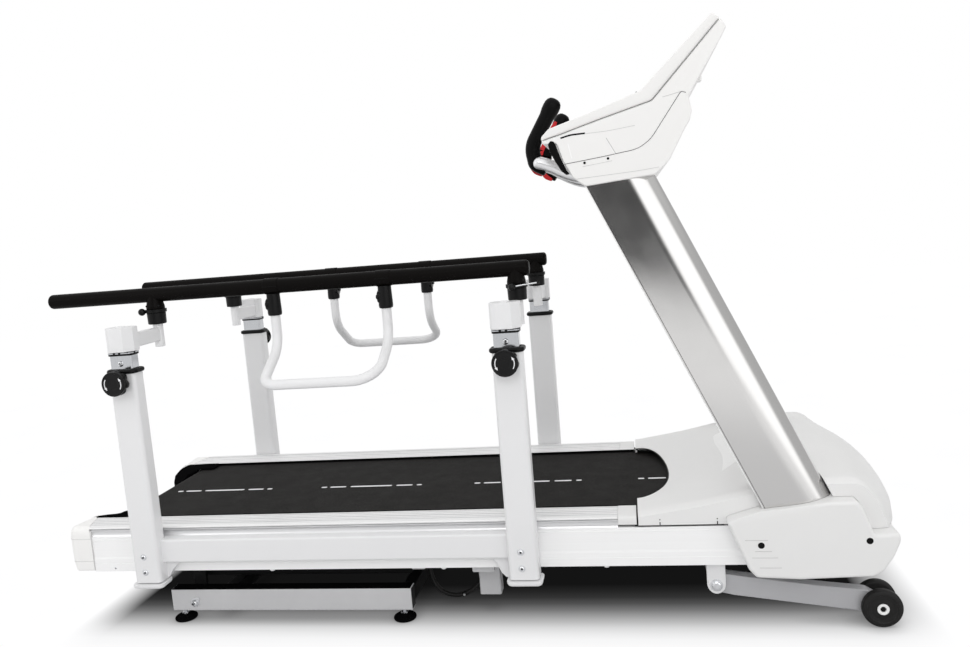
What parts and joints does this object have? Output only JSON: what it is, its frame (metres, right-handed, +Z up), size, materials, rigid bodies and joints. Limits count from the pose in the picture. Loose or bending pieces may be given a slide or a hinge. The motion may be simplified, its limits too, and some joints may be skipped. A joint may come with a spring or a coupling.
{
  "type": "rehabilitation treadmill",
  "caption": "Treadmill with height-adjustable parallel handrails, swing-out handles, slanted uprights, console and an electric incline base.",
  "frame": {"origin": "on the floor, midway along the overall length and across the width", "axes": "+X towards the console, +Y towards the far handrail (left when walking), +Z up"},
  "size_m": [2.434, 0.97, 1.56],
  "materials": {
    "white_paint": "gloss white powder coat",
    "white_shell": "satin moulded white",
    "grey_paint": "grey powder coat",
    "silver_extrusion": "satin silver extrusion",
    "bright_tube": "bright polished",
    "bare_steel": "turned steel",
    "black_plastic": "moulded black",
    "black_sleeve": "moulded rubber sleeve",
    "belt_weave": "woven-back walking belt with dashes",
    "deck_wood": "waxed phenolic faced board",
    "black_rubber": "moulded rubber",
    "red_plastic": "gloss red"
  },
  "bodies": {
    "treadmill_frame": {"main_frame": "white_paint", "deck_board": "deck_wood", "walking_belt": "belt_weave", "motor_hood": "white_shell", "drive_motor": "bare_steel", "lift_actuator": "bare_steel", "console_body": "white_shell", "console_top": "white_shell", "handlebar": "bright_tube", "grip_near": "black_sleeve", "grip_far": "black_sleeve", "cable_loop": "black_plastic", "foot_rail_near": "silver_extrusion", "upright_near": "silver_extrusion", "upright_cover_near": "white_shell", "rear_cap_near": "white_shell", "rail_stand_near": "white_paint", "foot_rail_far": "silver_extrusion", "upright_far": "silver_extrusion", "upright_cover_far": "white_shell", "rear_cap_far": "white_shell", "rail_stand_far": "white_paint"},
    "lift_arm_body": {"front_lift_arm": "grey_paint"},
    "rear_base_body": {"rear_base": "grey_paint"},
    "lift_rod_body": {"lift_rod": "bright_tube"},
    "wheel_near_body": {"wheel_near": "black_rubber"},
    "wheel_far_body": {"wheel_far": "black_rubber"},
    "foot_rear_near_body": {"foot_rear_near": "black_rubber"},
    "foot_rear_far_body": {"foot_rear_far": "black_rubber"},
    "foot_front_near_body": {"foot_front_near": "black_rubber"},
    "foot_front_far_body": {"foot_front_far": "black_rubber"},
    "front_roller_body": {"front_roller": "bare_steel"},
    "rear_roller_body": {"rear_roller": "bare_steel"},
    "lift_tube_rear_near_body": {"lift_tube_rear_near": "silver_extrusion"},
    "lift_tube_front_near_body": {"lift_tube_front_near": "silver_extrusion"},
    "swing_arm_rear_near_body": {"swing_arm_rear_near": "white_paint"},
    "swing_arm_front_near_body": {"swing_arm_front_near": "white_paint"},
    "handrail_near_body": {"handrail_near": "black_sleeve"},
    "u_handle_near_body": {"u_handle_near": "white_paint"},
    "u_knob_rear_near_body": {"u_knob_rear_near": "black_plastic"},
    "u_knob_front_near_body": {"u_knob_front_near": "black_plastic"},
    "star_knob_rear_near_body": {"star_knob_rear_near": "black_plastic"},
    "star_knob_front_near_body": {"star_knob_front_near": "black_plastic"},
    "rail_lever_rear_near_body": {"rail_lever_rear_near": "black_plastic"},
    "rail_lever_front_near_body": {"rail_lever_front_near": "black_plastic"},
    "lift_tube_rear_far_body": {"lift_tube_rear_far": "silver_extrusion"},
    "lift_tube_front_far_body": {"lift_tube_front_far": "silver_extrusion"},
    "swing_arm_rear_far_body": {"swing_arm_rear_far": "white_paint"},
    "swing_arm_front_far_body": {"swing_arm_front_far": "white_paint"},
    "handrail_far_body": {"handrail_far": "black_sleeve"},
    "u_handle_far_body": {"u_handle_far": "white_paint"},
    "u_knob_rear_far_body": {"u_knob_rear_far": "black_plastic"},
    "u_knob_front_far_body": {"u_knob_front_far": "black_plastic"},
    "star_knob_rear_far_body": {"star_knob_rear_far": "black_plastic"},
    "star_knob_front_far_body": {"star_knob_front_far": "black_plastic"},
    "rail_lever_rear_far_body": {"rail_lever_rear_far": "black_plastic"},
    "rail_lever_front_far_body": {"rail_lever_front_far": "black_plastic"},
    "speed_switch_body": {"speed_switch": "red_plastic"},
    "incline_switch_body": {"incline_switch": "red_plastic"},
    "stop_button_body": {"stop_button": "red_plastic"}
  },
  "joints": [
    {"name": "front_lift", "type": "hinge", "parent": "treadmill_frame", "child": "lift_arm_body", "pos_m": [0.689, 0, 0.115], "axis": [0, 1, 0], "range_deg": [0, 40]},
    {"name": "rear_base_pivot", "type": "hinge", "parent": "treadmill_frame", "child": "rear_base_body", "pos_m": [-0.819, 0, 0.059], "axis": [0, 1, 0], "range_deg": [0, 7.5]},
    {"name": "lift_rod_travel", "type": "slide", "parent": "treadmill_frame", "child": "lift_rod_body", "axis": [1, 0, 0], "range_m": [0, 0.048]},
    {"name": "wheel_near_spin", "type": "hinge", "parent": "lift_arm_body", "child": "wheel_near_body", "pos_m": [1.096, -0.333, 0.05], "axis": [0, 1, 0], "continuous": true},
    {"name": "wheel_far_spin", "type": "hinge", "parent": "lift_arm_body", "child": "wheel_far_body", "pos_m": [1.096, 0.333, 0.05], "axis": [0, 1, 0], "continuous": true},
    {"name": "foot_rear_near_screw", "type": "slide", "parent": "rear_base_body", "child": "foot_rear_near_body", "axis": [0, 0, -1], "range_m": [0, 0.012]},
    {"name": "foot_rear_far_screw", "type": "slide", "parent": "rear_base_body", "child": "foot_rear_far_body", "axis": [0, 0, -1], "range_m": [0, 0.012]},
    {"name": "foot_front_near_screw", "type": "slide", "parent": "rear_base_body", "child": "foot_front_near_body", "axis": [0, 0, -1], "range_m": [0, 0.012]},
    {"name": "foot_front_far_screw", "type": "slide", "parent": "rear_base_body", "child": "foot_front_far_body", "axis": [0, 0, -1], "range_m": [0, 0.012]},
    {"name": "front_roller_spin", "type": "hinge", "parent": "treadmill_frame", "child": "front_roller_body", "pos_m": [0.668, 0, 0.2525], "axis": [0, 1, 0], "continuous": true},
    {"name": "rear_roller_spin", "type": "hinge", "parent": "treadmill_frame", "child": "rear_roller_body", "pos_m": [-1.062, 0, 0.2525], "axis": [0, 1, 0], "continuous": true},
    {"name": "lift_rear_near", "type": "slide", "parent": "treadmill_frame", "child": "lift_tube_rear_near_body", "axis": [0, 0, 1], "range_m": [0, 0.2]},
    {"name": "lift_front_near", "type": "slide", "parent": "treadmill_frame", "child": "lift_tube_front_near_body", "axis": [0, 0, 1], "range_m": [0, 0.2]},
    {"name": "swing_rear_near", "type": "hinge", "parent": "lift_tube_rear_near_body", "child": "swing_arm_rear_near_body", "pos_m": [-0.896, -0.4155, 0.8335], "axis": [0, 0, 1], "range_deg": [-10, 90]},
    {"name": "swing_front_near", "type": "hinge", "parent": "lift_tube_front_near_body", "child": "swing_arm_front_near_body", "pos_m": [0.191, -0.4155, 0.8335], "axis": [0, 0, 1], "range_deg": [-10, 90]},
    {"name": "rail_stay_near", "type": "hinge", "parent": "swing_arm_rear_near_body", "child": "handrail_near_body", "pos_m": [-0.8817, -0.2504, 0.9775], "axis": [0, 0, 1], "range_deg": [-90, 10]},
    {"name": "u_handle_near_swing", "type": "hinge", "parent": "handrail_near_body", "child": "u_handle_near_body", "pos_m": [-0.5074, -0.2504, 0.9775], "axis": [1, 0, 0], "range_deg": [-75, 45]},
    {"name": "u_knob_rear_near_turn", "type": "hinge", "parent": "u_handle_near_body", "child": "u_knob_rear_near_body", "pos_m": [-0.5284, -0.2504, 0.925], "axis": [1, 0, 0], "continuous": true},
    {"name": "u_knob_front_near_turn", "type": "hinge", "parent": "u_handle_near_body", "child": "u_knob_front_near_body", "pos_m": [-0.1928, -0.2504, 0.925], "axis": [1, 0, 0], "continuous": true},
    {"name": "star_knob_rear_near_turn", "type": "hinge", "parent": "treadmill_frame", "child": "star_knob_rear_near_body", "pos_m": [-0.896, -0.435, 0.752], "axis": [0, 1, 0], "continuous": true},
    {"name": "star_knob_front_near_turn", "type": "hinge", "parent": "treadmill_frame", "child": "star_knob_front_near_body", "pos_m": [0.191, -0.435, 0.752], "axis": [0, 1, 0], "continuous": true},
    {"name": "rail_lever_rear_near_turn", "type": "hinge", "parent": "handrail_near_body", "child": "rail_lever_rear_near_body", "pos_m": [-0.8817, -0.2504, 0.9295], "axis": [0, 0, 1], "range_deg": [-40, 40]},
    {"name": "rail_lever_front_near_turn", "type": "hinge", "parent": "handrail_near_body", "child": "rail_lever_front_near_body", "pos_m": [0.2053, -0.2504, 0.9295], "axis": [0, 0, 1], "range_deg": [-40, 40]},
    {"name": "lift_rear_far", "type": "slide", "parent": "treadmill_frame", "child": "lift_tube_rear_far_body", "axis": [0, 0, 1], "range_m": [0, 0.2]},
    {"name": "lift_front_far", "type": "slide", "parent": "treadmill_frame", "child": "lift_tube_front_far_body", "axis": [0, 0, 1], "range_m": [0, 0.2]},
    {"name": "swing_rear_far", "type": "hinge", "parent": "lift_tube_rear_far_body", "child": "swing_arm_rear_far_body", "pos_m": [-0.896, 0.4155, 0.8335], "axis": [0, 0, 1], "range_deg": [-90, 10]},
    {"name": "swing_front_far", "type": "hinge", "parent": "lift_tube_front_far_body", "child": "swing_arm_front_far_body", "pos_m": [0.191, 0.4155, 0.8335], "axis": [0, 0, 1], "range_deg": [-90, 10]},
    {"name": "rail_stay_far", "type": "hinge", "parent": "swing_arm_rear_far_body", "child": "handrail_far_body", "pos_m": [-0.8817, 0.2504, 0.9775], "axis": [0, 0, 1], "range_deg": [-10, 90]},
    {"name": "u_handle_far_swing", "type": "hinge", "parent": "handrail_far_body", "child": "u_handle_far_body", "pos_m": [-0.5074, 0.2504, 0.9775], "axis": [1, 0, 0], "range_deg": [-45, 75]},
    {"name": "u_knob_rear_far_turn", "type": "hinge", "parent": "u_handle_far_body", "child": "u_knob_rear_far_body", "pos_m": [-0.4864, 0.2504, 0.925], "axis": [1, 0, 0], "continuous": true},
    {"name": "u_knob_front_far_turn", "type": "hinge", "parent": "u_handle_far_body", "child": "u_knob_front_far_body", "pos_m": [-0.1508, 0.2504, 0.925], "axis": [1, 0, 0], "continuous": true},
    {"name": "star_knob_rear_far_turn", "type": "hinge", "parent": "treadmill_frame", "child": "star_knob_rear_far_body", "pos_m": [-0.896, 0.435, 0.752], "axis": [0, 1, 0], "continuous": true},
    {"name": "star_knob_front_far_turn", "type": "hinge", "parent": "treadmill_frame", "child": "star_knob_front_far_body", "pos_m": [0.191, 0.435, 0.752], "axis": [0, 1, 0], "continuous": true},
    {"name": "rail_lever_rear_far_turn", "type": "hinge", "parent": "handrail_far_body", "child": "rail_lever_rear_far_body", "pos_m": [-0.8817, 0.2504, 0.9295], "axis": [0, 0, 1], "range_deg": [-40, 40]},
    {"name": "rail_lever_front_far_turn", "type": "hinge", "parent": "handrail_far_body", "child": "rail_lever_front_far_body", "pos_m": [0.2053, 0.2504, 0.9295], "axis": [0, 0, 1], "range_deg": [-40, 40]},
    {"name": "speed_switch_press", "type": "slide", "parent": "treadmill_frame", "child": "speed_switch_body", "axis": [0, -1, 0], "range_m": [0, 0.0012], "stiffness_N_per_m": 800, "springref_m": -0.001},
    {"name": "incline_switch_press", "type": "slide", "parent": "treadmill_frame", "child": "incline_switch_body", "axis": [0, 1, 0], "range_m": [0, 0.0012], "stiffness_N_per_m": 800, "springref_m": -0.001},
    {"name": "stop_button_press", "type": "slide", "parent": "treadmill_frame", "child": "stop_button_body", "axis": [0.2599, 0, -0.9656], "range_m": [0, 0.004], "stiffness_N_per_m": 600, "springref_m": -0.002}
  ],
  "couplings": [
    {"joint": "rear_base_pivot", "follows": "front_lift", "ratio": 0.1875},
    {"joint": "lift_rod_travel", "follows": "front_lift", "m_per_rad": 0.0685},
    {"joint": "rear_roller_spin", "follows": "front_roller_spin", "ratio": 1},
    {"joint": "lift_front_near", "follows": "lift_rear_near", "ratio": 1},
    {"joint": "swing_front_near", "follows": "swing_rear_near", "ratio": 1},
    {"joint": "rail_stay_near", "follows": "swing_rear_near", "ratio": -1},
    {"joint": "lift_front_far", "follows": "lift_rear_far", "ratio": 1},
    {"joint": "swing_front_far", "follows": "swing_rear_far", "ratio": 1},
    {"joint": "rail_stay_far", "follows": "swing_rear_far", "ratio": -1}
  ]
}
